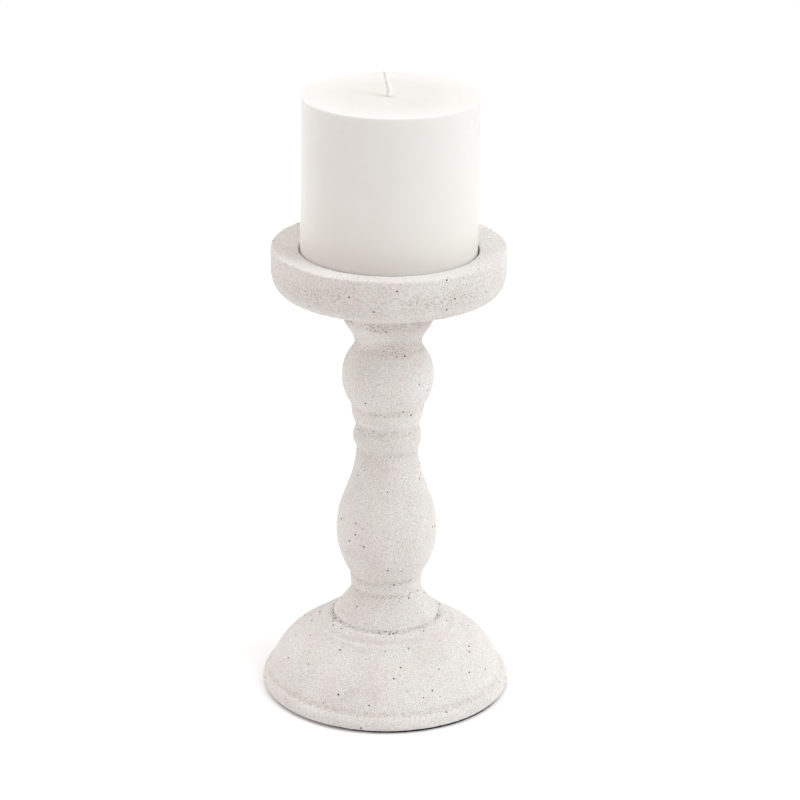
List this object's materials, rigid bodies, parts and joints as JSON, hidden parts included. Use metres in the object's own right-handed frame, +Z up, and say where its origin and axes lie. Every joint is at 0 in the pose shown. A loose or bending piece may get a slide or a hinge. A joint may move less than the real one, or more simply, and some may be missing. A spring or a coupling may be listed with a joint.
{
  "type": "candlestick",
  "caption": "Turned candlestick: domed foot, baluster stem and shallow round tray under a stone-textured coat, with a lift-off pillar candle.",
  "frame": {"origin": "on the turning axis, at the underside of the pad under the foot, where the candlestick meets the surface it stands on", "axes": "+Z up along the turning axis; +X to the right and +Y away, seen from the front; the object is the same all round but for the wick's lean"},
  "size_m": [0.1108, 0.1108, 0.2853],
  "materials": {
    "coated_wood": "matte gritty stone-effect coat, off-white with fine dark specks",
    "pad_foam": "matte black foam",
    "screw_steel": "zinc-plated, satin",
    "tab_tin": "tinned, satin",
    "wax": "smooth white wax, soft gloss",
    "wick_cotton": "braided, waxed"
  },
  "bodies": {
    "holder": {"base_pad": "pad_foam", "base": "coated_wood", "stem": "coated_wood", "tray": "coated_wood", "base_screw": "screw_steel", "base_washer": "screw_steel", "tray_screw": "screw_steel"},
    "candle": {"candle": "wax", "wick": "wick_cotton", "wick_tab": "tab_tin"}
  },
  "joints": [
    {"name": "candle_lift", "type": "slide", "parent": "holder", "child": "candle", "axis": [0, 0, 1], "range_m": [0, 0.04]}
  ]
}
